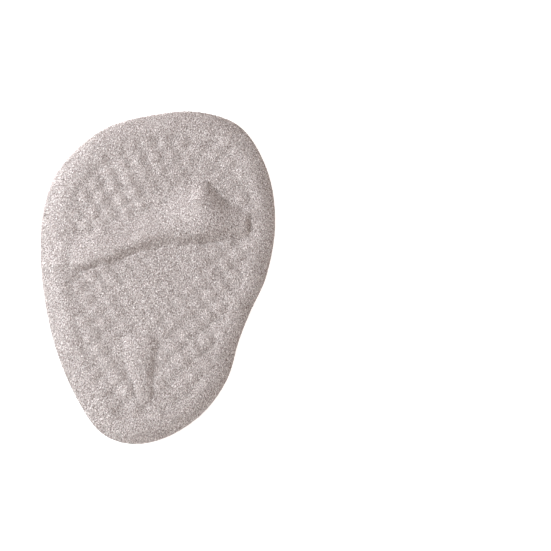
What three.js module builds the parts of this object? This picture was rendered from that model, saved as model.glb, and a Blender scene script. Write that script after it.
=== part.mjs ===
// A metatarsal pad: a soft forefoot cushion that lies under the ball of the foot, inside a shoe.
// A moulded core carries a curved toe ridge, a teardrop dome and a field of small massage nubs inside a
// smooth rolled rim. A plush cover is bonded over it, so every form of the core shows through the pile.
//
// Millimetres. +Z is up, +Y points to the toes and +X to the medial side. The origin is on the ground,
// under the middle of the outline's bounding rectangle.

import * as THREE from "three";

// Overall size
const PAD_LENGTH = 100;
const PAD_WIDTH = 70.5;
const FIELD_HEIGHT = 4.6; // valleys of the nub field above the ground, where the pad has no crown
const CROWN_RISE = 1; // how much the pad swells towards its middle

// Rim around the field, which slopes down to a soft edge
const RIM_RISE = 0.3; // the rim's crest above the field's valleys
const RIM_FALL = 2.5; // width of the fall from that crest to the field
const RIM_WIDTH_LATERAL = 6.8; // from the outline to the crest, on the pad's wide and flat side
const RIM_WIDTH_MEDIAL = 4.6;
const EDGE_SLOPE = 0.47; // how steeply the rim leaves the edge, before it rounds over to its crest
const ROLL_WIDTH = 0.6; // the rounding where that slope meets the side
const FOOT_HEIGHT = 1.5; // the widest point of the side above the ground
const UNDERCUT = 0.5; // how far the cover's hem turns back under the side

// Raised forms
const RIDGE_RISE = 3;
const TEARDROP_RISE = 1.1;
const TEARDROP_POWER = 3; // how flat the teardrop's top is
const NUB_RISE = 0.47;
const NUB_FADE = 3; // how soon nubs fade on the slopes of the ridge and the teardrop

// Cover and core
const COVER_WALL = 1.3;
const COVER_GAP = 0.3; // clear space between the cover and the core
const HEM_LIFT = 0.3; // the cover's hem above the ground
const CORE_TOE_IN = 0.4; // small bevel around the core's underside

// Nub rows of the toe zone: arcs around one centre, with nubs spaced evenly along each arc from an axis.
// They are longer along the rays than around the arcs.
const TOE_ARC_PITCH = 4.38;
const TOE_NUB_SPACING = 5.04;
const TOE_NUB_SHAPE = { length: 0.65, width: 0.5 }; // half of each, as shares of the pitch and the spacing
const TOE_NUBS = { across: 0.049, along: 0.152, firstArc: 0.58, axisDegrees: 114.7 };

// Nub rows of the ball zone: two crossing families of rows that spread out from one centre
const BALL_NUB_PITCH = 3.87;
const BALL_NUB_SHAPE = 0.6; // radius as a share of the pitch around the nub
const BALL_NUBS = {
  across: -0.087,
  along: 0.185,
  spread: 0.044,
  turnA: 35.1,
  turnB: 128.8,
  startA: 0.685,
  startB: -0.238,
};

// The quiet middle, where the nubs are low: an ellipse whose long axis is turned from across, the share of
// it that stays quiet, and the least share of their rise there
const QUIET = {
  across: 0.15,
  along: 0.23,
  turn: 67,
  halfLength: 0.84,
  halfWidth: 0.57,
  middle: 0.4,
  least: 0.38,
};

// Mesh detail: a ring of the top has this many points per step away from the middle
const RING_STEP = 6;
const COVER_RINGS = 28;
const INNER_RINGS = 15;
const ROLL_STEPS = 4;
const HEM_STEPS = 2;
const OUTLINE_SAMPLES = 2000;
const EDGE_SAMPLES = 360;

const HALF_LENGTH = PAD_LENGTH / 2;
const HALF_WIDTH = PAD_WIDTH / 2;
const QUARTER = Math.PI / 2; // a quarter turn, from the top of a rounding to its side

// The outline seen from above, counter-clockwise from the medial side, as shares of the half sizes.
const OUTLINE = [
  { across: 0.921, along: -0.002 },
  { across: 1.0, along: 0.3 },
  { across: 0.95, along: 0.61 },
  { across: 0.73, along: 0.889 },
  { across: 0.378, along: 0.993 },
  { across: -0.05, along: 0.977 },
  { across: -0.5, along: 0.878 },
  { across: -0.85, along: 0.64 },
  { across: -0.968, along: 0.42 },
  { across: -0.998, along: 0.2 },
  { across: -0.966, along: -0.11 },
  { across: -0.87, along: -0.42 },
  { across: -0.69, along: -0.725 },
  { across: -0.481, along: -0.933 },
  { across: -0.22, along: -0.999 },
  { across: 0.1, along: -0.951 },
  { across: 0.409, along: -0.798 },
  { across: 0.6, along: -0.6 },
  { across: 0.69, along: -0.385 },
  { across: 0.79, along: -0.205 },
];

// The toe ridge, cut at stations from its lateral to its medial tip: where its heel-side crease, its lip
// above that crease, its toe-side brow and its toe-side foot lie, and the rises of lip and brow, as shares.
const RIDGE = [
  { across: -0.95, crease: 0.07, lip: 0.09, brow: 0.13, foot: 0.17, lipRise: 0.0, browRise: 0.0 },
  { across: -0.76, crease: 0.044, lip: 0.084, brow: 0.15, foot: 0.225, lipRise: 0.23, browRise: 0.16 },
  { across: -0.66, crease: 0.042, lip: 0.092, brow: 0.17, foot: 0.262, lipRise: 0.44, browRise: 0.34 },
  { across: -0.55, crease: 0.058, lip: 0.112, brow: 0.2, foot: 0.292, lipRise: 0.62, browRise: 0.48 },
  { across: -0.32, crease: 0.109, lip: 0.172, brow: 0.245, foot: 0.347, lipRise: 0.69, browRise: 0.5 },
  { across: -0.1, crease: 0.166, lip: 0.235, brow: 0.295, foot: 0.4, lipRise: 0.63, browRise: 0.42 },
  { across: 0.08, crease: 0.191, lip: 0.268, brow: 0.345, foot: 0.466, lipRise: 0.62, browRise: 0.46 },
  { across: 0.24, crease: 0.196, lip: 0.28, brow: 0.4, foot: 0.545, lipRise: 0.74, browRise: 0.65 },
  { across: 0.37, crease: 0.203, lip: 0.29, brow: 0.472, foot: 0.588, lipRise: 0.98, browRise: 0.83 },
  { across: 0.447, crease: 0.21, lip: 0.295, brow: 0.444, foot: 0.572, lipRise: 0.97, browRise: 0.82 },
  { across: 0.52, crease: 0.216, lip: 0.297, brow: 0.402, foot: 0.51, lipRise: 0.83, browRise: 0.74 },
  { across: 0.6, crease: 0.224, lip: 0.299, brow: 0.37, foot: 0.45, lipRise: 0.67, browRise: 0.62 },
  { across: 0.69, crease: 0.234, lip: 0.3, brow: 0.36, foot: 0.425, lipRise: 0.48, browRise: 0.46 },
  { across: 0.755, crease: 0.244, lip: 0.3, brow: 0.35, foot: 0.405, lipRise: 0.38, browRise: 0.37 },
  { across: 0.797, crease: 0.26, lip: 0.3, brow: 0.33, foot: 0.375, lipRise: 0.0, browRise: 0.0 },
];

// The teardrop dome, cut at stations from its heel-side tip to its round end: its middle, half width and
// rise, as shares.
const TEARDROP = [
  { along: -0.76, across: -0.1, half: 0.03, rise: 0.0 },
  { along: -0.69, across: -0.107, half: 0.075, rise: 0.68 },
  { along: -0.63, across: -0.117, half: 0.084, rise: 0.82 },
  { along: -0.557, across: -0.138, half: 0.111, rise: 0.95 },
  { along: -0.485, across: -0.146, half: 0.134, rise: 1.0 },
  { along: -0.413, across: -0.136, half: 0.148, rise: 0.97 },
  { along: -0.365, across: -0.142, half: 0.138, rise: 0.6 },
  { along: -0.33, across: -0.146, half: 0.11, rise: 0.0 },
];

const clamp01 = (value) => Math.min(1, Math.max(0, value));
const smooth = (value) => clamp01(value) ** 2 * (3 - 2 * clamp01(value));
const radians = (degrees) => (degrees * Math.PI) / 180;

// A table's columns at a station, on a smooth curve through its rows. Past either end it gives the end row.
function readTable(table, key, station) {
  const last = table.length - 1;
  const at = Math.min(table[last][key], Math.max(table[0][key], station));
  let i = 0;
  while (i < last - 1 && at > table[i + 1][key]) i += 1;
  const span = table[i + 1][key] - table[i][key];
  const t = (at - table[i][key]) / span;
  const slope = (column, row) => {
    const from = table[Math.max(0, row - 1)];
    const to = table[Math.min(last, row + 1)];
    return (to[column] - from[column]) / (to[key] - from[key]);
  };
  const result = {};
  for (const column of Object.keys(table[0])) {
    const a = table[i][column];
    const b = table[i + 1][column];
    const leave = t * (1 - t) ** 2 * span * slope(column, i);
    const arrive = t ** 2 * (1 - t) * span * slope(column, i + 1);
    result[column] = a + (b - a) * smooth(t) + leave - arrive;
  }
  return result;
}

// Height of the toe ridge over the field, as a share of its rise: a smooth curve from its crease up to the
// lip, over to the brow and down to its foot.
function ridgeAt(x, y) {
  const row = readTable(RIDGE, "across", x / HALF_WIDTH);
  const section = [
    { along: row.crease, rise: 0 },
    { along: row.lip, rise: row.lipRise },
    { along: row.brow, rise: row.browRise },
    { along: row.foot, rise: 0 },
  ];
  return Math.max(0, readTable(section, "along", y / HALF_LENGTH).rise);
}

// Height of the teardrop dome over the field, as a share of its rise.
function teardropAt(x, y) {
  const row = readTable(TEARDROP, "along", y / HALF_LENGTH);
  const off = Math.abs(x / HALF_WIDTH - row.across) / row.half;
  return off < 1 ? Math.max(0, row.rise) * (1 - off ** TEARDROP_POWER) : 0;
}

// The outline as a closed curve through its table, stretched to the named length and width exactly.
function outlineThrough(table) {
  const through = (points) => new THREE.CatmullRomCurve3(points, true, "centripetal");
  const rough = table.map((row) => new THREE.Vector3(row.across, row.along, 0));
  const box = new THREE.Box3().setFromPoints(through(rough).getPoints(OUTLINE_SAMPLES));
  const middle = box.getCenter(new THREE.Vector3());
  const fit = new THREE.Vector3(PAD_WIDTH, PAD_LENGTH, 1).divide(box.getSize(new THREE.Vector3()).setZ(1));
  return through(rough.map((point) => point.sub(middle).multiply(fit)));
}

const outline = outlineThrough(OUTLINE);
outline.arcLengthDivisions = OUTLINE_SAMPLES;
const EDGE = outline.getSpacedPoints(EDGE_SAMPLES);

// A point of the outline at a share of its length, moved inwards by an inset.
function outlinePoint(share, inset) {
  const point = outline.getPointAt(share);
  const tangent = outline.getTangentAt(share);
  return new THREE.Vector2(point.x - tangent.y * inset, point.y + tangent.x * inset);
}

// How far a place lies inside the outline: negative outside it.
function depthInside(x, y) {
  let nearest = Infinity;
  let inside = false;
  for (let i = 1; i < EDGE.length; i += 1) {
    const from = EDGE[i - 1];
    const to = EDGE[i];
    const run = to.x - from.x;
    const rise = to.y - from.y;
    const share = clamp01(((x - from.x) * run + (y - from.y) * rise) / (run ** 2 + rise ** 2));
    nearest = Math.min(nearest, Math.hypot(from.x + share * run - x, from.y + share * rise - y));
    if (from.y > y !== to.y > y && x < from.x + ((y - from.y) / rise) * run) inside = !inside;
  }
  return inside ? nearest : -nearest;
}

// The rim's width at a place across the pad.
function rimWidth(x) {
  return RIM_WIDTH_LATERAL + (RIM_WIDTH_MEDIAL - RIM_WIDTH_LATERAL) * smooth((x / HALF_WIDTH + 1) / 2);
}

// How fully a place belongs to the field inside the rim, from 0 to 1.
const fieldShare = (x, depth) => smooth((depth - rimWidth(x)) / RIM_FALL);

// How far a place is from the quiet middle, from 0 in it to 1.
function liveliness(x, y) {
  const awayX = x - QUIET.across * HALF_WIDTH;
  const awayY = y - QUIET.along * HALF_LENGTH;
  const turn = radians(QUIET.turn);
  const along = (awayX * Math.cos(turn) + awayY * Math.sin(turn)) / (QUIET.halfLength * HALF_LENGTH);
  const across = (awayX * Math.sin(turn) - awayY * Math.cos(turn)) / (QUIET.halfWidth * HALF_WIDTH);
  return smooth((Math.hypot(across, along) - QUIET.middle) / (1 - QUIET.middle));
}

// A nub of the toe zone, by its count along the arc and its arc.
function toeNub(column, arc) {
  const radius = (arc + TOE_NUBS.firstArc) * TOE_ARC_PITCH;
  const turn = radians(TOE_NUBS.axisDegrees) - (column * TOE_NUB_SPACING) / radius;
  return {
    x: TOE_NUBS.across * HALF_WIDTH + radius * Math.cos(turn),
    y: TOE_NUBS.along * HALF_LENGTH + radius * Math.sin(turn),
    turn,
    length: TOE_NUB_SHAPE.length * TOE_ARC_PITCH,
    width: TOE_NUB_SHAPE.width * TOE_NUB_SPACING,
  };
}

// A nub of the ball zone, by its row in each family. Rows lie square to the families' turns, and their
// pitch grows with the distance from the centre.
function ballNub(rowA, rowB) {
  const a = rowA + BALL_NUBS.startA;
  const b = rowB + BALL_NUBS.startB;
  const turnA = radians(BALL_NUBS.turnA);
  const turnB = radians(BALL_NUBS.turnB);
  const across = (a * Math.sin(turnB) - b * Math.sin(turnA)) / Math.sin(turnB - turnA);
  const along = (b * Math.cos(turnA) - a * Math.cos(turnB)) / Math.sin(turnB - turnA);
  const rows = Math.hypot(across, along);
  const grown = Math.exp(BALL_NUBS.spread * rows);
  const stretch = (BALL_NUB_PITCH * (grown - 1)) / (BALL_NUBS.spread * rows);
  return {
    x: BALL_NUBS.across * HALF_WIDTH + across * stretch,
    y: BALL_NUBS.along * HALF_LENGTH + along * stretch,
    turn: 0,
    length: BALL_NUB_SHAPE * BALL_NUB_PITCH * grown,
    width: BALL_NUB_SHAPE * BALL_NUB_PITCH * grown,
  };
}

const inToeZone = (nub) => nub.y / HALF_LENGTH > readTable(RIDGE, "across", nub.x / HALF_WIDTH).brow;

// Every nub of both zones, each with its own size. They fade out where they meet the rim, the ridge and the
// teardrop, and in the quiet middle.
function allNubs() {
  const reach = Math.ceil(PAD_LENGTH / Math.min(TOE_ARC_PITCH, TOE_NUB_SPACING, BALL_NUB_PITCH));
  const found = [];
  for (let i = -reach; i <= reach; i += 1) {
    for (let j = 0; j <= reach; j += 1) {
      const halfArc = Math.PI * (j + TOE_NUBS.firstArc) * TOE_ARC_PITCH;
      if (Math.abs(i * TOE_NUB_SPACING) < halfArc) found.push({ ...toeNub(i, j), toeZone: true });
    }
    for (let j = -reach; j <= reach; j += 1) found.push({ ...ballNub(i, j), toeZone: false });
  }
  const rise = (nub) => {
    const overRidge = smooth(NUB_FADE * ridgeAt(nub.x, nub.y));
    const overTeardrop = smooth(NUB_FADE * teardropAt(nub.x, nub.y));
    const bare = (1 - overRidge) * (1 - overTeardrop) * fieldShare(nub.x, depthInside(nub.x, nub.y));
    return NUB_RISE * bare * (QUIET.least + (1 - QUIET.least) * liveliness(nub.x, nub.y));
  };
  return found
    .filter((nub) => inToeZone(nub) === nub.toeZone)
    .map((nub) => ({ ...nub, rise: rise(nub) }))
    .filter((nub) => nub.rise > 0);
}

const NUBS = allNubs();

// Height of the nubs over their valleys.
function nubsAt(x, y) {
  return NUBS.reduce((sum, nub) => {
    const outwards = (x - nub.x) * Math.cos(nub.turn) + (y - nub.y) * Math.sin(nub.turn);
    const sideways = (y - nub.y) * Math.cos(nub.turn) - (x - nub.x) * Math.sin(nub.turn);
    const off = (outwards / nub.length) ** 2 + (sideways / nub.width) ** 2;
    return off < 1 ? sum + nub.rise * (1 - off) ** 2 : sum;
  }, 0);
}

// Height of the pad's top above the ground.
function topHeight(x, y) {
  const depth = depthInside(x, y);
  const fromMiddle = Math.min(1, (x / HALF_WIDTH) ** 2 + (y / HALF_LENGTH) ** 2);
  const crown = CROWN_RISE * (1 - fromMiddle) ** 2;
  const rim = RIM_RISE * (1 - fieldShare(x, depth));
  const drop = EDGE_SLOPE * (rimWidth(x) / QUARTER) * (1 - Math.sin(clamp01(depth / rimWidth(x)) * QUARTER));
  const raised = RIDGE_RISE * ridgeAt(x, y) + TEARDROP_RISE * teardropAt(x, y) + nubsAt(x, y);
  return FIELD_HEIGHT + crown + rim - drop + raised;
}

// A surface under construction: rings of points, each bridged to the one before.
class Skin {
  constructor() {
    this.points = [];
    this.faces = [];
  }

  ring(count, place) {
    const start = this.points.length;
    for (let i = 0; i < count; i += 1) this.points.push(place(i / count));
    return { start, count };
  }

  // Joins two rings of any counts by their shares of the way round. The faces look up where the second
  // ring lies outside the first, and down where flipped. A ring of one point closes the skin.
  bridge(inner, outer, flipped = false) {
    const steps = inner.count === 1 ? 0 : inner.count;
    let i = 0;
    let j = 0;
    while (i < steps || j < outer.count) {
      const a = inner.start + (i % inner.count);
      const b = outer.start + (j % outer.count);
      const innerNext = i < steps ? (i + 1) / steps : Infinity;
      const outerNext = j < outer.count ? (j + 1) / outer.count : Infinity;
      if (innerNext < outerNext) i += 1;
      else j += 1;
      const c = innerNext < outerNext ? inner.start + (i % inner.count) : outer.start + (j % outer.count);
      this.faces.push(...(flipped ? [a, c, b] : [a, b, c]));
    }
  }

  // Joins each ring of a list to the next.
  bridgeAll(rings, flipped = false) {
    rings.slice(1).forEach((ring, i) => this.bridge(rings[i], ring, flipped));
  }

  geometry() {
    const made = new THREE.BufferGeometry();
    made.setAttribute("position", new THREE.Float32BufferAttribute(this.points.flat(), 3));
    made.setIndex(this.faces);
    made.computeVertexNormals();
    return made;
  }
}

// The rings of the pad's skin, drawn in by an offset: the top from its middle out, then the rounding down to
// the widest point of the side.
function skinRings(skin, offset, topRings) {
  const count = topRings * RING_STEP;
  const heightAt = (p) => topHeight(p.x, p.y) - offset;
  const rings = [skin.ring(1, () => [0, 0, heightAt({ x: 0, y: 0 })])];
  for (let k = 1; k <= topRings; k += 1) {
    rings.push(
      skin.ring(k * RING_STEP, (share) => {
        const p = outlinePoint(share, offset + ROLL_WIDTH).multiplyScalar(k / topRings);
        return [p.x, p.y, heightAt(p)];
      }),
    );
  }
  for (let j = 1; j <= ROLL_STEPS; j += 1) {
    const turn = (j / ROLL_STEPS) * QUARTER;
    const inset = offset + ROLL_WIDTH * (1 - Math.sin(turn));
    rings.push(
      skin.ring(count, (share) => {
        const p = outlinePoint(share, inset);
        return [p.x, p.y, FOOT_HEIGHT + (heightAt(p) - FOOT_HEIGHT) * Math.cos(turn)];
      }),
    );
  }
  return rings;
}

// One level ring at a height, drawn in from the outline.
function levelRing(skin, count, inset, z) {
  return skin.ring(count, (share) => {
    const p = outlinePoint(share, inset);
    return [p.x, p.y, z];
  });
}

// The plush cover: an open shell over the core, with a hem that turns a little way under the side.
function coverGeometry() {
  const skin = new Skin();
  const outer = skinRings(skin, 0, COVER_RINGS);
  for (let j = 1; j <= HEM_STEPS; j += 1) {
    const turn = (j / HEM_STEPS) * QUARTER;
    const inset = UNDERCUT * (1 - Math.cos(turn));
    const z = FOOT_HEIGHT - (FOOT_HEIGHT - HEM_LIFT) * Math.sin(turn);
    outer.push(levelRing(skin, COVER_RINGS * RING_STEP, inset, z));
  }
  const inner = skinRings(skin, COVER_WALL, INNER_RINGS);
  inner.push(levelRing(skin, INNER_RINGS * RING_STEP, COVER_WALL, HEM_LIFT));
  skin.bridgeAll(outer);
  skin.bridgeAll(inner, true);
  skin.bridge(inner.at(-1), outer.at(-1), true);
  return skin.geometry();
}

// The moulded core: the solid that fills the cover, flat underneath.
function coreGeometry() {
  const skin = new Skin();
  const offset = COVER_WALL + COVER_GAP;
  const count = INNER_RINGS * RING_STEP;
  const rings = skinRings(skin, offset, INNER_RINGS);
  rings.push(levelRing(skin, count, offset, CORE_TOE_IN));
  rings.push(levelRing(skin, count, offset + CORE_TOE_IN, 0));
  skin.bridgeAll(rings);
  skin.bridge(skin.ring(1, () => [0, 0, 0]), rings.at(-1), true);
  return skin.geometry();
}

function piece(name, geometry, color, roughness) {
  const made = new THREE.Mesh(geometry, new THREE.MeshStandardMaterial({ color, roughness, metalness: 0 }));
  made.name = name;
  return made;
}

const pad = new THREE.Group();
pad.name = "metatarsal_pad";
pad.add(piece("plush_cover", coverGeometry(), "#bcb1af", 0.95));
pad.add(piece("cushion_core", coreGeometry(), "#d8cfc6", 0.7));

export default pad;
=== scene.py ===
"""The looks of a plush-covered metatarsal pad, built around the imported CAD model.

The pad's skin is worked out again here, ring by ring, at a finer step than in the solids. The cover gets a
dense pile of tiny fibres that lean with the nap, and the core under it a smooth moulded foam.
"""

import math

import bpy
import numpy as np
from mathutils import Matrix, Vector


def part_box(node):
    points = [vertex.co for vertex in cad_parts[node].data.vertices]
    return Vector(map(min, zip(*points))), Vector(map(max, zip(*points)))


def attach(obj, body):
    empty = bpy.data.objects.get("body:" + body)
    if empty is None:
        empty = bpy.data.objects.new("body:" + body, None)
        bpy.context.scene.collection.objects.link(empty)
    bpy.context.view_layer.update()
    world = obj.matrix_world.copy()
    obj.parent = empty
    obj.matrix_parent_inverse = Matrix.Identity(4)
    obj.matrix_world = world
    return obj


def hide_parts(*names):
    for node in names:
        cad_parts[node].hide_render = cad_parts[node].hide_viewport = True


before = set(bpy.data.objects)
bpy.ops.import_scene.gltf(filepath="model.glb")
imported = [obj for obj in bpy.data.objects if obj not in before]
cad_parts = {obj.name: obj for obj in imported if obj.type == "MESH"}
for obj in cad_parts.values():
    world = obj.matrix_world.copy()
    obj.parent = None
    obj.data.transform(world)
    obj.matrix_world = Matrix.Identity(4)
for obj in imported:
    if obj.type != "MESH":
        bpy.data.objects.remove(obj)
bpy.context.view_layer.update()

MM = 0.001
QUARTER = math.pi / 2  # a quarter turn, from the top of a rounding to its side
COVER = "plush_cover"
CORE = "cushion_core"

# Driving sizes in millimetres, as in the part
COVER_LOW, COVER_HIGH = (np.array(corner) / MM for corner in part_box(COVER))
PAD_WIDTH, PAD_LENGTH = (COVER_HIGH - COVER_LOW)[:2]
HALF_WIDTH = PAD_WIDTH / 2
HALF_LENGTH = PAD_LENGTH / 2
FIELD_HEIGHT = 4.6
CROWN_RISE = 1.0
RIM_RISE = 0.3
RIM_FALL = 2.5
RIM_WIDTH_LATERAL = 6.8
RIM_WIDTH_MEDIAL = 4.6
EDGE_SLOPE = 0.47
ROLL_WIDTH = 0.6
FOOT_HEIGHT = 1.5
UNDERCUT = 0.5
RIDGE_RISE = 3.0
TEARDROP_RISE = 1.1
TEARDROP_POWER = 3
NUB_RISE = 0.47
NUB_FADE = 3.0
COVER_WALL = 1.3
COVER_GAP = 0.3
HEM_LIFT = 0.3
CORE_TOE_IN = 0.4

# Nub rows, fitted to the photograph by a search and then rounded, and the quiet middle where they are low
TOE_ARC_PITCH = 4.38
TOE_NUB_SPACING = 5.04
TOE_NUB_SHAPE = {"length": 0.65, "width": 0.5}
TOE_NUBS = {"across": 0.049, "along": 0.152, "first_arc": 0.58, "axis": 114.7}
BALL_NUB_PITCH = 3.87
BALL_NUB_SHAPE = 0.6
BALL_NUBS = {"across": -0.087, "along": 0.185, "spread": 0.044, "turn_a": 35.1, "turn_b": 128.8,
             "start_a": 0.685, "start_b": -0.238}
QUIET = {"across": 0.15, "along": 0.23, "turn": 67, "half_length": 0.84, "half_width": 0.57, "middle": 0.4,
         "least": 0.38}

# Mesh detail
RING_STEP = 6  # how many more points each ring of the top has than the one inside it
COVER_RINGS = 130
INNER_RINGS = 40
ROLL_STEPS = 12
INNER_ROLL_STEPS = 4
HEM_STEPS = 6
OUTLINE_SAMPLES = 1440
CURVE_STEPS = 200  # steps between two named points of the outline, before it is divided evenly
CHUNK = 4000  # places whose depth is worked out at a time

# The flat map of a piece: two round sheets, one beside the other
LEFT_SHEET = (0.25, 0.5)
RIGHT_SHEET = (0.75, 0.5)
SHEET_REACH = 0.22
FOOT_REACH = SHEET_REACH * 1.05  # where the lowest ring of a side lies
HEM_STEP = 0.01  # how much further out each ring of the hem lies, as a share of the reach

# Pile
PILE_DEPTH = 0.45  # how far the backing lies under the tips of the pile
SIDE_PILE_DEPTH = 0.05  # the same on the upright sides, where the pile is combed flat
PILE_PIECES = ("pile_toe", "pile_ridge", "pile_ball", "pile_heel")
FIBRES_PER_PIECE = 65000
FIBRE_LENGTH = 0.75
FIBRE_WIDTH = 0.22
FIBRE_ROOT = 0.12  # how deep a fibre's foot sits in the backing
SIDE_SHORTER = 0.5  # share of its length that a fibre on an upright side lacks
FIBRE_LEAST = 0.7  # share of the usual length or width that the smallest fibre has
FIBRE_SPREAD = 0.6  # how much more of it the largest fibre has than the smallest
NAP_LEAN = 42.0  # degrees that the pile leans from upright
LEAN_SPREAD = 36.0  # degrees between the fibres that lean least and most
NAP_HEADING = -QUARTER  # the pile runs towards the heel
HEADING_SPREAD = 1.3  # radians between the outermost directions of neighbouring fibres
NAP_SWING = 4.0  # degrees that its direction wanders from place to place
NAP_PATCH = (9, 12, 9)  # size of the patches that it wanders over, along x, y and z
WAVES = 28  # how many waves make it wander
WAVE_RANGE = (0.6, 1.4)  # the slowest and the fastest of them, as shares of the middle one
TINY = 1e-12  # keeps a vector of no length from being divided by zero
NUDGE = 1e-3  # keeps a fibre that stands along its normal from having no sideways direction
SIDE_LEAN = 32.0  # degrees that it leans more on an upright side
MIDDLE_TONE = 0.55  # from 0 for the darkest fibres to 1 for the palest
TONE_SPREAD = 1.1  # difference in tone between the darkest and the palest fibres, as a share of all tones
ROOT_PAINTED_SHADE = 0.3  # painted shade between the fibres: how much darker a fibre's foot is than its tip
SIDE_PAINTED_SHADE = 0.3  # painted shade: how much darker the pile is on the flat-combed upright sides
SEED = 20

# Steps from one fibre to the next that mix each quality evenly, because their multiples never bunch together
MIX_STEPS = {"heading": 0.7549, "lean": 0.5698, "length": 0.8191, "width": 0.6711, "tone": 0.6180}
MIX_JITTER = 0.25

# A fibre's corners: three round its foot, then its tip
AT_FOOT = np.array([1, 1, 1, 0])
FIBRE_FACES = np.array([(0, 1, 3), (1, 2, 3), (2, 0, 3)])
FIBRE_CELL = np.array([(0.08, 0.08), (0.92, 0.08), (0.5, 0.92), (0.5, 0.36)])

# Materials: a noise's scale is per metre, a bump's distance in millimetres
SHEEN_ROUGHNESS = 0.5
SHEEN_TINT = (1.0, 0.97, 0.95, 1.0)
TUFTS = {"scale": 3600, "detail": 0, "stretch": (1, 0.62, 1)}
KNOTS = {"scale": 1800, "detail": 2, "stretch": (1, 0.5, 1)}
CELLS = {"scale": 1400, "detail": 4, "stretch": (1, 1, 1)}
KNOT_BUMP = {"strength": 0.6, "distance": 0.15}
CELL_BUMP = {"strength": 0.35, "distance": 0.08}
FIBRE_COLOURS = [(0.0, (0.24, 0.185, 0.17, 1)), (0.5, (0.56, 0.495, 0.482, 1)), (1.0, (0.9, 0.865, 0.85, 1))]
TUFT_SHADES = [(0.28, (0.33, 0.305, 0.295, 1)), (0.62, (1.3, 1.31, 1.32, 1))]
# the backing's knit tones, darkened with painted shade from the pile over it
BACKING_COLOURS_WITH_PAINTED_SHADE = [(0.3, (0.36, 0.30, 0.285, 1)), (0.7, (0.50, 0.44, 0.425, 1))]
FOAM_COLOURS = [(0.3, (0.56, 0.50, 0.44, 1)), (0.7, (0.66, 0.61, 0.55, 1))]

# The photograph's frame: 551 pixels wide, with the pad's middle at a pixel of its left half
FRAME_PIXELS = 551
PAD_PIXEL = (157.66, 277.44)
PAD_PIXELS_LONG = 332.25
LENS = 135.0
SENSOR = 36.0

# Floor and light, in metres and watts
FLOOR_REACH = 3.0
FLOOR_DROP = 0.02  # millimetres that the floor lies under the pad
FLOOR_COLOUR = (0.93, 0.93, 0.93, 1)
FLOOR_GLOW = 0.35
KEY = {"place": (-0.53, 0.08, 0.53), "size": 0.35, "power": 12.6, "colour": (0.87, 0.955, 1.0)}
SKY_COLOUR = (1.0, 0.94, 0.89, 1)
SKY_STRENGTH = 1.26

# The outline seen from above, counter-clockwise, as shares of the half sizes. Its points come from a trace
# of the pad's edge in the photograph, and some were then moved
OUTLINE = np.array([
    (0.921, -0.002), (1.0, 0.3), (0.95, 0.61), (0.73, 0.889), (0.378, 0.993), (-0.05, 0.977), (-0.5, 0.878),
    (-0.85, 0.64), (-0.968, 0.42), (-0.998, 0.2), (-0.966, -0.11), (-0.87, -0.42), (-0.69, -0.725),
    (-0.481, -0.933), (-0.22, -0.999), (0.1, -0.951), (0.409, -0.798), (0.6, -0.6), (0.69, -0.385),
    (0.79, -0.205),
])

# Sections of the toe ridge: across, crease, lip, brow, foot, lip rise, brow rise. Chosen, with some moved
# towards a fit of the photograph's shading
RIDGE = np.array([
    (-0.95, 0.07, 0.09, 0.13, 0.17, 0.0, 0.0),
    (-0.76, 0.044, 0.084, 0.15, 0.225, 0.23, 0.16),
    (-0.66, 0.042, 0.092, 0.17, 0.262, 0.44, 0.34),
    (-0.55, 0.058, 0.112, 0.2, 0.292, 0.62, 0.48),
    (-0.32, 0.109, 0.172, 0.245, 0.347, 0.69, 0.5),
    (-0.1, 0.166, 0.235, 0.295, 0.4, 0.63, 0.42),
    (0.08, 0.191, 0.268, 0.345, 0.466, 0.62, 0.46),
    (0.24, 0.196, 0.28, 0.4, 0.545, 0.74, 0.65),
    (0.37, 0.203, 0.29, 0.472, 0.588, 0.98, 0.83),
    (0.447, 0.21, 0.295, 0.444, 0.572, 0.97, 0.82),
    (0.52, 0.216, 0.297, 0.402, 0.51, 0.83, 0.74),
    (0.6, 0.224, 0.299, 0.37, 0.45, 0.67, 0.62),
    (0.69, 0.234, 0.3, 0.36, 0.425, 0.48, 0.46),
    (0.755, 0.244, 0.3, 0.35, 0.405, 0.38, 0.37),
    (0.797, 0.26, 0.3, 0.33, 0.375, 0.0, 0.0),
])
BROW = 2  # the brow's place among the columns after the key

# Sections of the teardrop dome, chosen and moved likewise: along, across, half width, rise
TEARDROP = np.array([
    (-0.76, -0.1, 0.03, 0.0),
    (-0.69, -0.107, 0.075, 0.68),
    (-0.63, -0.117, 0.084, 0.82),
    (-0.557, -0.138, 0.111, 0.95),
    (-0.485, -0.146, 0.134, 1.0),
    (-0.413, -0.136, 0.148, 0.97),
    (-0.365, -0.142, 0.138, 0.6),
    (-0.33, -0.146, 0.11, 0.0),
])


def smooth(value):
    """An even step from 0 to 1."""
    value = np.clip(value, 0, 1)
    return value ** 2 * (3 - 2 * value)


def read_table(table, station):
    """A table's further columns at each station, on smooth curves through its rows."""
    key = table[:, 0]
    at = np.clip(station, key[0], key[-1])
    i = np.clip(np.searchsorted(key, at) - 1, 0, len(key) - 2)
    span = key[i + 1] - key[i]
    t = ((at - key[i]) / span)[..., None]
    before = np.maximum(np.arange(len(key)) - 1, 0)
    after = np.minimum(np.arange(len(key)) + 1, len(key) - 1)
    slopes = (table[after] - table[before]) / (key[after] - key[before])[:, None]
    leave = t * (1 - t) ** 2 * span[..., None] * slopes[i]
    arrive = t ** 2 * (1 - t) * span[..., None] * slopes[i + 1]
    rows = table[i] + (table[i + 1] - table[i]) * smooth(t) + leave - arrive
    return rows[..., 1:]


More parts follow.
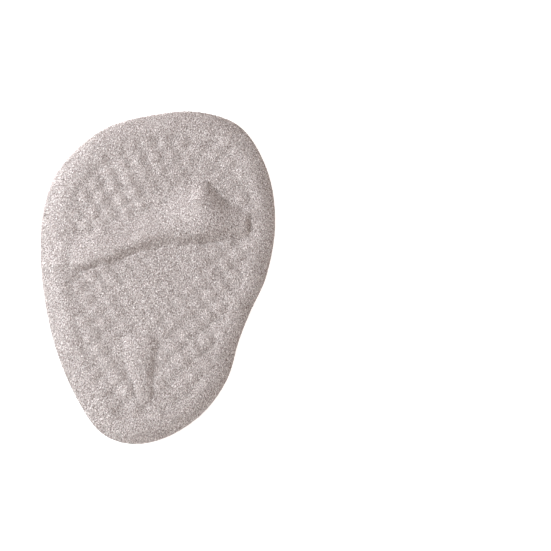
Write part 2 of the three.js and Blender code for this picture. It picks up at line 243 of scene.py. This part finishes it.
def ridge_at(x, y):
    """The toe ridge's height as a share of its rise: a smooth curve over its crease, lip, brow and foot."""
    columns = np.moveaxis(read_table(RIDGE, x / HALF_WIDTH), -1, 0)
    knots = np.stack(columns[:4], -1)
    none = np.zeros_like(columns[0])
    rises = np.stack([none, columns[4], columns[5], none], -1)
    before, after = np.array([0, 0, 1, 2]), np.array([1, 2, 3, 3])
    slopes = (rises[..., after] - rises[..., before]) / (knots[..., after] - knots[..., before])
    along = np.clip(y / HALF_LENGTH, knots[..., 0], knots[..., 3])[..., None]
    i = np.clip((along > knots).sum(-1, keepdims=True) - 1, 0, 2)

    def pick(values, at):
        """Each place's own value."""
        return np.take_along_axis(values, at, -1)

    span = pick(knots, i + 1) - pick(knots, i)
    t = (along - pick(knots, i)) / span
    leave = t * (1 - t) ** 2 * span * pick(slopes, i)
    arrive = t ** 2 * (1 - t) * span * pick(slopes, i + 1)
    rise = pick(rises, i) + (pick(rises, i + 1) - pick(rises, i)) * smooth(t) + leave - arrive
    return np.maximum(rise[..., 0], 0)


def teardrop_at(x, y):
    """The teardrop dome's height as a share of its rise."""
    across, half, rise = np.moveaxis(read_table(TEARDROP, y / HALF_LENGTH), -1, 0)
    off = np.clip(np.abs(x / HALF_WIDTH - across) / half, 0, 1)
    return np.maximum(rise, 0) * (1 - off ** TEARDROP_POWER)


def closed_curve(points, samples):
    """Points at equal shares of the length of a closed centripetal Catmull-Rom curve."""
    p0, p1, p2, p3 = (np.roll(points, shift, 0)[:, None] for shift in (1, 0, -1, -2))
    d0, d1, d2 = (np.sqrt(np.linalg.norm(b - a, axis=-1, keepdims=True))
                  for a, b in ((p0, p1), (p1, p2), (p2, p3)))
    m1 = ((p1 - p0) / d0 - (p2 - p0) / (d0 + d1) + (p2 - p1) / d1) * d1
    m2 = ((p2 - p1) / d1 - (p3 - p1) / (d1 + d2) + (p3 - p2) / d2) * d1
    t = np.linspace(0, 1, CURVE_STEPS, endpoint=False)[None, :, None]
    fine = p1 * (1 - smooth(t)) + p2 * smooth(t) + m1 * t * (1 - t) ** 2 - m2 * t ** 2 * (1 - t)
    fine = fine.reshape(-1, 2)
    low, high = fine.min(0), fine.max(0)
    fine = (fine - (low + high) / 2) * np.array([PAD_WIDTH, PAD_LENGTH]) / (high - low)
    ring = np.vstack([fine, fine[:1]])
    length = np.concatenate([[0], np.cumsum(np.linalg.norm(np.diff(ring, axis=0), axis=1))])
    at = np.linspace(0, length[-1], samples, endpoint=False)
    return np.stack([np.interp(at, length, ring[:, axis]) for axis in (0, 1)], 1)


EDGE = closed_curve(OUTLINE, OUTLINE_SAMPLES)
EDGE_ALONG = np.roll(EDGE, -1, 0) - np.roll(EDGE, 1, 0)
EDGE_INWARD = np.stack([-EDGE_ALONG[:, 1], EDGE_ALONG[:, 0]], 1)
EDGE_INWARD /= np.linalg.norm(EDGE_ALONG, axis=1)[:, None]


def outline_points(count, inset):
    """Points of the outline at equal shares of its length, moved inwards."""
    at = np.linspace(0, OUTLINE_SAMPLES, count, endpoint=False)
    wrapped = np.arange(OUTLINE_SAMPLES + 1)
    moved = EDGE + EDGE_INWARD * inset
    closed = np.vstack([moved, moved[:1]])
    return np.stack([np.interp(at, wrapped, closed[:, axis]) for axis in (0, 1)], 1)


def depth_inside(x, y):
    """How far each place lies inside the outline: negative outside it."""
    places = np.stack([x, y], -1).reshape(-1, 2)
    depth = np.empty(len(places))
    ahead = np.roll(EDGE, -1, 0)
    for start in range(0, len(places), CHUNK):
        px, py = places[start:start + CHUNK].T[:, :, None]
        near = np.sqrt(((px - EDGE[:, 0]) ** 2 + (py - EDGE[:, 1]) ** 2).min(1))
        spans = (EDGE[:, 1] > py) != (ahead[:, 1] > py)
        rise = np.where(ahead[:, 1] == EDGE[:, 1], 1, ahead[:, 1] - EDGE[:, 1])
        crossed = spans & (px < EDGE[:, 0] + (py - EDGE[:, 1]) / rise * (ahead[:, 0] - EDGE[:, 0]))
        depth[start:start + CHUNK] = np.where(crossed.sum(1) % 2 == 1, near, -near)
    return depth.reshape(np.shape(x))


def rim_width(x):
    """The rim's width at a place across the pad."""
    return RIM_WIDTH_LATERAL + (RIM_WIDTH_MEDIAL - RIM_WIDTH_LATERAL) * smooth((x / HALF_WIDTH + 1) / 2)


def field_share(x, depth):
    """How fully a place belongs to the field inside the rim."""
    return smooth((depth - rim_width(x)) / RIM_FALL)


def liveliness(x, y):
    """How far a place is from the quiet middle, from 0 in it to 1."""
    away_x = x - QUIET["across"] * HALF_WIDTH
    away_y = y - QUIET["along"] * HALF_LENGTH
    turn = math.radians(QUIET["turn"])
    along = (away_x * math.cos(turn) + away_y * math.sin(turn)) / (QUIET["half_length"] * HALF_LENGTH)
    across = (away_x * math.sin(turn) - away_y * math.cos(turn)) / (QUIET["half_width"] * HALF_WIDTH)
    return smooth((np.hypot(across, along) - QUIET["middle"]) / (1 - QUIET["middle"]))


def toe_nubs(reach):
    """Nubs of the toe zone: place, turn, half length and half width."""
    column, arc = np.meshgrid(np.arange(-reach, reach + 1), np.arange(reach + 1))
    radius = (arc + TOE_NUBS["first_arc"]) * TOE_ARC_PITCH
    round_arc = column * TOE_NUB_SPACING / radius
    turn = math.radians(TOE_NUBS["axis"]) - round_arc
    x = TOE_NUBS["across"] * HALF_WIDTH + radius * np.cos(turn)
    y = TOE_NUBS["along"] * HALF_LENGTH + radius * np.sin(turn)
    length = np.full_like(x, TOE_NUB_SHAPE["length"] * TOE_ARC_PITCH)
    width = np.full_like(x, TOE_NUB_SHAPE["width"] * TOE_NUB_SPACING)
    nubs = np.stack([x, y, turn, length, width], -1)[np.abs(round_arc) < math.pi]
    return nubs[in_toe_zone(nubs)]


def ball_nubs(reach):
    """Nubs of the ball zone, on two crossing families of rows whose pitch grows from the centre."""
    row_a, row_b = np.meshgrid(np.arange(-reach, reach + 1), np.arange(-reach, reach + 1))
    a = row_a + BALL_NUBS["start_a"]
    b = row_b + BALL_NUBS["start_b"]
    turn_a, turn_b = math.radians(BALL_NUBS["turn_a"]), math.radians(BALL_NUBS["turn_b"])
    across = (a * math.sin(turn_b) - b * math.sin(turn_a)) / math.sin(turn_b - turn_a)
    along = (b * math.cos(turn_a) - a * math.cos(turn_b)) / math.sin(turn_b - turn_a)
    rows = np.hypot(across, along)
    grown = np.exp(BALL_NUBS["spread"] * rows)
    stretch = BALL_NUB_PITCH * (grown - 1) / (BALL_NUBS["spread"] * rows)
    x = BALL_NUBS["across"] * HALF_WIDTH + across * stretch
    y = BALL_NUBS["along"] * HALF_LENGTH + along * stretch
    radius = BALL_NUB_SHAPE * BALL_NUB_PITCH * grown
    nubs = np.stack([x, y, np.zeros_like(x), radius, radius], -1).reshape(-1, 5)
    return nubs[~in_toe_zone(nubs)]


def in_toe_zone(nubs):
    """Which nubs lie on the toe side of the ridge's brow."""
    brow = read_table(RIDGE, nubs[:, 0] / HALF_WIDTH)[:, BROW]
    return nubs[:, 1] / HALF_LENGTH > brow


def all_nubs():
    """Each nub's place, turn, half length, half width and rise."""
    reach = math.ceil(PAD_LENGTH / min(TOE_ARC_PITCH, TOE_NUB_SPACING, BALL_NUB_PITCH))
    nubs = np.vstack([toe_nubs(reach), ball_nubs(reach)])
    x, y = nubs[:, 0], nubs[:, 1]
    bare = (1 - smooth(NUB_FADE * ridge_at(x, y))) * (1 - smooth(NUB_FADE * teardrop_at(x, y)))
    lively = QUIET["least"] + (1 - QUIET["least"]) * liveliness(x, y)
    rise = NUB_RISE * bare * field_share(x, depth_inside(x, y)) * lively
    return np.column_stack([nubs, rise])[rise > 0]


NUBS = all_nubs()


def nubs_at(x, y):
    """Height of the nubs over their valleys."""
    places = np.stack([x, y], -1).reshape(-1, 2)
    total = np.zeros(len(places))
    for nub_x, nub_y, turn, length, width, rise in NUBS:
        away_x, away_y = places[:, 0] - nub_x, places[:, 1] - nub_y
        outwards = away_x * math.cos(turn) + away_y * math.sin(turn)
        sideways = away_y * math.cos(turn) - away_x * math.sin(turn)
        off = (outwards / length) ** 2 + (sideways / width) ** 2
        near = off < 1
        total[near] += rise * (1 - off[near]) ** 2
    return total.reshape(np.shape(x))


def top_height(x, y):
    """Height of the pad's top above the ground."""
    depth = depth_inside(x, y)
    crown = CROWN_RISE * (1 - np.minimum(1, (x / HALF_WIDTH) ** 2 + (y / HALF_LENGTH) ** 2)) ** 2
    rim = RIM_RISE * (1 - field_share(x, depth))
    over = np.clip(depth / rim_width(x), 0, 1) * QUARTER
    drop = EDGE_SLOPE * rim_width(x) / QUARTER * (1 - np.sin(over))
    return (FIELD_HEIGHT + crown + rim - drop + RIDGE_RISE * ridge_at(x, y)
            + TEARDROP_RISE * teardrop_at(x, y) + nubs_at(x, y))


class Skin:
    """A surface under construction: rings of points, each bridged to the one before, with a flat map."""

    def __init__(self):
        """Starts with nothing."""
        self.points, self.flat, self.faces, self.total = [], [], [], 0

    def ring(self, points, middle, reach):
        """Adds a ring. On the map it is a circle round its sheet's middle."""
        count = len(points)
        turn = np.linspace(0, 2 * math.pi, count, endpoint=False)
        self.points.append(np.asarray(points, float))
        self.flat.append(np.array(middle) + reach * np.stack([np.cos(turn), np.sin(turn)], 1))
        self.total += count
        return self.total - count, count

    def bridge(self, inner, outer, flipped=False):
        """Joins two rings of any counts. The faces look up where the second ring lies outside the first."""
        (start_a, count_a), (start_b, count_b) = inner, outer
        steps = 0 if count_a == 1 else count_a
        i = j = 0
        while i < steps or j < count_b:
            a, b = start_a + i % count_a, start_b + j % count_b
            next_a = (i + 1) / steps if i < steps else math.inf
            next_b = (j + 1) / count_b if j < count_b else math.inf
            if next_a < next_b:
                i += 1
                c = start_a + i % count_a
            else:
                j += 1
                c = start_b + j % count_b
            self.faces.append((a, c, b) if flipped else (a, b, c))

    def bridge_all(self, rings, flipped=False):
        """Joins each ring to the next."""
        for inner, outer in zip(rings, rings[1:]):
            self.bridge(inner, outer, flipped)

    def arrays(self):
        """The points, the faces and each point's place on the map."""
        return np.vstack(self.points), np.array(self.faces), np.vstack(self.flat)


def skin_rings(skin, offset, inset, top_rings, roll_steps, middle):
    """The rings of the pad's top from its middle out, then of its roll.

    They lie lower by the offset and are drawn in by the inset.
    """
    count = top_rings * RING_STEP
    plans = [np.zeros((1, 2))]
    falls = [1.0]
    for k in range(1, top_rings + 1):
        plans.append(outline_points(k * RING_STEP, inset + ROLL_WIDTH) * k / top_rings)
        falls.append(1.0)
    for j in range(1, roll_steps + 1):
        turn = j / roll_steps * QUARTER
        plans.append(outline_points(count, inset + ROLL_WIDTH * (1 - math.sin(turn))))
        falls.append(math.cos(turn))
    plan = np.vstack(plans)
    height = top_height(plan[:, 0], plan[:, 1]) - offset
    rings = []
    done = 0
    for index, (places, fall) in enumerate(zip(plans, falls)):
        z = FOOT_HEIGHT + (height[done:done + len(places)] - FOOT_HEIGHT) * fall
        done += len(places)
        rings.append(skin.ring(np.column_stack([places, z]), middle, SHEET_REACH * index / len(plans)))
    return rings


def level_ring(skin, count, inset, z, middle, reach):
    """One level ring at a height, drawn in from the outline."""
    places = outline_points(count, inset)
    return skin.ring(np.column_stack([places, np.full(count, z)]), middle, reach)


def cover_skin():
    """The cover's shell: fine outside, coarser inside, with a hem that turns under the side."""
    skin = Skin()
    outer = skin_rings(skin, PILE_DEPTH, SIDE_PILE_DEPTH, COVER_RINGS, ROLL_STEPS, LEFT_SHEET)
    for j in range(1, HEM_STEPS + 1):
        turn = j / HEM_STEPS * QUARTER
        inset = SIDE_PILE_DEPTH + UNDERCUT * (1 - math.cos(turn))
        z = FOOT_HEIGHT - (FOOT_HEIGHT - HEM_LIFT) * math.sin(turn)
        reach = SHEET_REACH * (1 + HEM_STEP * j)
        outer.append(level_ring(skin, COVER_RINGS * RING_STEP, inset, z, LEFT_SHEET, reach))
    inner = skin_rings(skin, COVER_WALL, COVER_WALL, INNER_RINGS, INNER_ROLL_STEPS, RIGHT_SHEET)
    inner.append(level_ring(skin, INNER_RINGS * RING_STEP, COVER_WALL, HEM_LIFT, RIGHT_SHEET, FOOT_REACH))
    skin.bridge_all(outer)
    outer_faces = len(skin.faces)
    skin.bridge_all(inner, True)
    skin.bridge(inner[-1], outer[-1], True)
    return skin.arrays(), outer_faces


def core_skin():
    """The core's closed skin: its top and side, a small bevel and a flat underside."""
    skin = Skin()
    offset = COVER_WALL + COVER_GAP
    count = INNER_RINGS * RING_STEP
    rings = skin_rings(skin, offset, offset, INNER_RINGS, INNER_ROLL_STEPS, LEFT_SHEET)
    rings.append(level_ring(skin, count, offset, CORE_TOE_IN, LEFT_SHEET, FOOT_REACH))
    rings.append(level_ring(skin, count, offset + CORE_TOE_IN, 0, RIGHT_SHEET, SHEET_REACH))
    skin.bridge_all(rings)
    lower = [skin.ring(np.zeros((1, 3)), RIGHT_SHEET, 0)]
    for k in range(1, INNER_RINGS):
        share = k / INNER_RINGS
        places = outline_points(k * RING_STEP, offset + CORE_TOE_IN) * share
        flat = np.column_stack([places, np.zeros(len(places))])
        lower.append(skin.ring(flat, RIGHT_SHEET, SHEET_REACH * share))
    skin.bridge_all([*lower, rings[-1]], True)
    return skin.arrays()


def make_piece(name, points, faces, flat, material, attributes=None):
    """A mesh object from arrays in millimetres, with its own bake map and per-vertex values."""
    mesh = bpy.data.meshes.new(name)
    mesh.vertices.add(len(points))
    mesh.vertices.foreach_set("co", (points * MM).astype(np.float32).ravel())
    mesh.loops.add(faces.size)
    mesh.loops.foreach_set("vertex_index", faces.astype(np.int32).ravel())
    mesh.polygons.add(len(faces))
    mesh.polygons.foreach_set("loop_start", np.arange(0, faces.size, 3, dtype=np.int32))
    mesh.update(calc_edges=True)
    mesh.polygons.foreach_set("use_smooth", np.ones(len(faces), bool))
    layer = mesh.uv_layers.new(name="OFBake", do_init=False)
    layer.uv.foreach_set("vector", flat[faces.ravel()].astype(np.float32).ravel())
    for key, values in (attributes or {}).items():
        mesh.attributes.new(key, "FLOAT", "POINT").data.foreach_set("value", values.astype(np.float32))
    mesh.materials.append(material)
    piece = bpy.data.objects.new(name, mesh)
    bpy.context.scene.collection.objects.link(piece)
    return piece


def unit(vectors):
    """The vectors at length 1."""
    return vectors / np.maximum(np.linalg.norm(vectors, axis=1), TINY)[:, None]


def vertex_normals(points, faces):
    """The unit normal at each point, from the faces around it by their area."""
    corners = points[faces]
    across = np.cross(corners[:, 1] - corners[:, 0], corners[:, 2] - corners[:, 0])
    normals = np.zeros_like(points)
    for corner in range(3):
        np.add.at(normals, faces[:, corner], across)
    return unit(normals)


def waves(points, spacing, rng):
    """A smooth random field of mean 0 and spread 1, whose bumps are about spacing apart along x, y and z."""
    turns = unit(rng.normal(size=(WAVES, 3)))
    turns *= 2 * math.pi / np.array(spacing) * rng.uniform(*WAVE_RANGE, (WAVES, 1))
    starts = rng.uniform(0, 2 * math.pi, WAVES)
    total = np.zeros(len(points))
    for turn, start in zip(turns, starts):
        total += np.cos(points @ turn + start)
    return total * math.sqrt(2 / WAVES)


def even_values(count, quality, rng):
    """Values from 0 to 1 that are evenly mixed in every short run of them. A jitter keeps them irregular."""
    return (np.arange(count) * MIX_STEPS[quality] + rng.uniform(0, MIX_JITTER, count)) % 1


def fibre_feet(points, faces, normals, count, rng):
    """Places spread evenly over the faces, ring by ring, with the normals there."""
    corners = points[faces]
    area = np.linalg.norm(np.cross(corners[:, 1] - corners[:, 0], corners[:, 2] - corners[:, 0]), axis=1)
    reached = np.cumsum(area)
    face = np.searchsorted(reached, (np.arange(count) + rng.random(count)) / count * reached[-1])
    u, v = rng.random((2, count))
    folded = u + v > 1
    u, v = np.where(folded, 1 - u, u), np.where(folded, 1 - v, v)
    share = np.stack([1 - u - v, u, v], 1)[:, :, None]
    return (points[faces[face]] * share).sum(1), unit((normals[faces[face]] * share).sum(1))


def grow_fibres(feet, normals, rng):
    """Each fibre is a slender three-sided spike. Returns their corner points, four to a fibre, and tones
    that carry painted shade at the feet and on the upright sides.
    """
    count = len(feet)
    steep = 1 - np.abs(normals[:, 2])
    wander = math.radians(NAP_SWING) * waves(feet, NAP_PATCH, rng)
    heading = NAP_HEADING + wander + HEADING_SPREAD * (even_values(count, "heading", rng) - 0.5)
    lie = np.column_stack([np.cos(heading), np.sin(heading), np.zeros(count)])
    lie = unit(lie - normals * (lie * normals).sum(1, keepdims=True))
    lean = NAP_LEAN + LEAN_SPREAD * (even_values(count, "lean", rng) - 0.5) + SIDE_LEAN * steep
    lean = np.radians(lean)
    toward = normals * np.cos(lean)[:, None] + lie * np.sin(lean)[:, None]
    side = unit(np.cross(toward, normals + NUDGE))
    back = np.cross(toward, side)
    length = FIBRE_LENGTH * (FIBRE_LEAST + FIBRE_SPREAD * even_values(count, "length", rng))
    length *= 1 - SIDE_SHORTER * steep
    width = FIBRE_WIDTH * (FIBRE_LEAST + FIBRE_SPREAD * even_values(count, "width", rng))
    turn = rng.uniform(0, 2 * math.pi, count)
    foot = feet - normals * FIBRE_ROOT
    corners = []
    for third in range(3):
        angle = turn + third * 2 * math.pi / 3
        spread = side * np.cos(angle)[:, None] + back * np.sin(angle)[:, None]
        corners.append(foot + spread * (width / 2)[:, None])
    corners.append(foot + toward * (length + FIBRE_ROOT)[:, None])
    corners = np.stack(corners, 1)
    corners[..., 2] = np.maximum(corners[..., 2], 0)
    # painted shade: the pile on the upright sides is made darker
    tone = MIDDLE_TONE + TONE_SPREAD * (even_values(count, "tone", rng) - 0.5) - SIDE_PAINTED_SHADE * steep
    # painted shade: each fibre's foot is darker than its tip
    tones_with_painted_shade = tone[:, None] - ROOT_PAINTED_SHADE * AT_FOOT
    return corners, np.clip(tones_with_painted_shade, 0, 1)


def fibre_map(count):
    """Map places for each fibre's corners, in a small cell of its own."""
    per_side = math.ceil(math.sqrt(count))
    cell = np.stack([np.arange(count) % per_side, np.arange(count) // per_side], 1)[:, None]
    return ((cell + FIBRE_CELL) / per_side).reshape(-1, 2)


def principled(name, roughness, sheen, specular):
    """A new material with its node tree and its shader."""
    material = bpy.data.materials.new(name)
    material.use_nodes = True
    tree = material.node_tree
    shader = tree.nodes["Principled BSDF"]
    shader.inputs["Roughness"].default_value = roughness
    shader.inputs["Sheen Weight"].default_value = sheen
    shader.inputs["Sheen Roughness"].default_value = SHEEN_ROUGHNESS
    shader.inputs["Sheen Tint"].default_value = SHEEN_TINT
    shader.inputs["Specular IOR Level"].default_value = specular
    return material, tree, shader


def place_noise(tree, scale, detail, stretch):
    """A noise over the object's own coordinates."""
    where = tree.nodes.new("ShaderNodeTexCoord")
    mapping = tree.nodes.new("ShaderNodeMapping")
    mapping.inputs["Scale"].default_value = stretch
    noise = tree.nodes.new("ShaderNodeTexNoise")
    noise.inputs["Scale"].default_value = scale
    noise.inputs["Detail"].default_value = detail
    tree.links.new(where.outputs["Object"], mapping.inputs["Vector"])
    tree.links.new(mapping.outputs["Vector"], noise.inputs["Vector"])
    return noise.outputs["Fac"]


def ramp(tree, source, stops):
    """A colour ramp over a value."""
    node = tree.nodes.new("ShaderNodeValToRGB")
    first, last = node.color_ramp.elements[0], node.color_ramp.elements[-1]
    first.position, first.color = stops[0]
    last.position, last.color = stops[-1]
    for position, colour in stops[1:-1]:
        node.color_ramp.elements.new(position).color = colour
    tree.links.new(source, node.inputs["Fac"])
    return node.outputs["Color"]


def add_bump(tree, shader, height, strength, distance):
    """Roughens a shader's surface by a noise."""
    bump = tree.nodes.new("ShaderNodeBump")
    bump.inputs["Strength"].default_value = strength
    bump.inputs["Distance"].default_value = distance * MM
    tree.links.new(height, bump.inputs["Height"])
    tree.links.new(bump.outputs["Normal"], shader.inputs["Normal"])


def pile_material():
    """The fibres: each has its own tone, with painted shade at its foot and on upright sides, and small
    tufts of them are darker or paler together.
    """
    material, tree, shader = principled("plush_pile", 0.9, 0.08, 0.2)
    tone = tree.nodes.new("ShaderNodeAttribute")
    tone.attribute_name = "tone"
    mix = tree.nodes.new("ShaderNodeMix")
    mix.data_type = "RGBA"
    mix.blend_type = "MULTIPLY"
    mix.inputs["Factor"].default_value = 1.0
    tree.links.new(ramp(tree, tone.outputs["Fac"], FIBRE_COLOURS), mix.inputs["A"])
    tree.links.new(ramp(tree, place_noise(tree, **TUFTS), TUFT_SHADES), mix.inputs["B"])
    tree.links.new(mix.outputs["Result"], shader.inputs["Base Color"])
    return material


def backing_material():
    """The knitted ground of the plush: its knit tones, darkened with painted shade from the pile over it."""
    material, tree, shader = principled("plush_backing", 0.95, 0.2, 0.15)
    knots = place_noise(tree, **KNOTS)
    tree.links.new(ramp(tree, knots, BACKING_COLOURS_WITH_PAINTED_SHADE), shader.inputs["Base Color"])
    add_bump(tree, shader, knots, **KNOT_BUMP)
    return material


def foam_material():
    """The core's moulded foam with its fine cells."""
    material, tree, shader = principled("core_foam", 0.7, 0.0, 0.3)
    cells = place_noise(tree, **CELLS)
    tree.links.new(ramp(tree, cells, FOAM_COLOURS), shader.inputs["Base Color"])
    add_bump(tree, shader, cells, **CELL_BUMP)
    return material


def build_pad():
    """The cover's backing, its pile in four pieces from toe to heel, and the core."""
    rng = np.random.default_rng(SEED)
    (points, faces, flat), outer_faces = cover_skin()
    normals = vertex_normals(points, faces)
    backing = make_piece("plush_backing", points, faces, flat, backing_material())
    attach(backing, "root")
    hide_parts(COVER)

    pile = pile_material()
    fibres = FIBRES_PER_PIECE * len(PILE_PIECES)
    feet, leaving = fibre_feet(points, faces[:outer_faces], normals, fibres, rng)
    corners, tones_with_painted_shade = grow_fibres(feet, leaving, rng)
    toe_to_heel = np.argsort(-feet[:, 1])
    for name, at in zip(PILE_PIECES, np.split(toe_to_heel, len(PILE_PIECES))):
        count = len(at)
        spikes = (np.arange(count)[:, None, None] * len(FIBRE_CELL) + FIBRE_FACES).reshape(-1, 3)
        piece = make_piece(name, corners[at].reshape(-1, 3), spikes, fibre_map(count), pile,
                           {"tone": tones_with_painted_shade[at].ravel()})
        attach(piece, "root")

    core = make_piece("foam_core", *core_skin(), foam_material())
    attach(core, "root")
    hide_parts(CORE)


def build_floor():
    """A white floor, far wider than the view."""
    corners = [(x * FLOOR_REACH, y * FLOOR_REACH, -FLOOR_DROP * MM)
               for x, y in ((-1, -1), (1, -1), (1, 1), (-1, 1))]
    mesh = bpy.data.meshes.new("floor")
    mesh.from_pydata(corners, [], [(0, 1, 2, 3)])
    material, _, shader = principled("floor_white", 0.9, 0.0, 0.1)
    shader.inputs["Base Color"].default_value = FLOOR_COLOUR
    shader.inputs["Emission Color"].default_value = (1, 1, 1, 1)
    shader.inputs["Emission Strength"].default_value = FLOOR_GLOW
    mesh.materials.append(material)
    floor = bpy.data.objects.new("floor", mesh)
    bpy.context.scene.collection.objects.link(floor)


def build_camera():
    """A long lens that looks straight down, with the pad where it stands in the photograph."""
    pixel = PAD_LENGTH / PAD_PIXELS_LONG * MM
    centre = FRAME_PIXELS / 2
    data = bpy.data.cameras.new("camera")
    data.lens, data.sensor_width = LENS, SENSOR
    data.clip_start, data.clip_end = 0.01, 20
    camera = bpy.data.objects.new("camera", data)
    distance = FRAME_PIXELS * pixel * LENS / SENSOR
    camera.location = ((centre - PAD_PIXEL[0]) * pixel, (PAD_PIXEL[1] - centre) * pixel,
                       FOOT_HEIGHT * MM + distance)
    bpy.context.scene.collection.objects.link(camera)
    bpy.context.scene.camera = camera


def area_light(name, place, size, power, colour):
    """A square light that faces the pad."""
    data = bpy.data.lights.new(name, "AREA")
    data.size, data.energy, data.color = size, power, colour
    light = bpy.data.objects.new(name, data)
    light.location = place
    distance = math.hypot(*place)
    light.rotation_euler = (math.acos(place[2] / distance), 0, math.atan2(place[1], place[0]) + QUARTER)
    bpy.context.scene.collection.objects.link(light)


def build_lights():
    """One cool key light from the lateral side, and a warm even sky."""
    area_light("key", **KEY)
    world = bpy.data.worlds.new("studio")
    world.use_nodes = True
    background = world.node_tree.nodes["Background"]
    background.inputs["Color"].default_value = SKY_COLOUR
    background.inputs["Strength"].default_value = SKY_STRENGTH
    bpy.context.scene.world = world
    bpy.context.scene.view_settings.view_transform = "Standard"


build_pad()
build_floor()
build_camera()
build_lights()
bpy.context.view_layer.update()
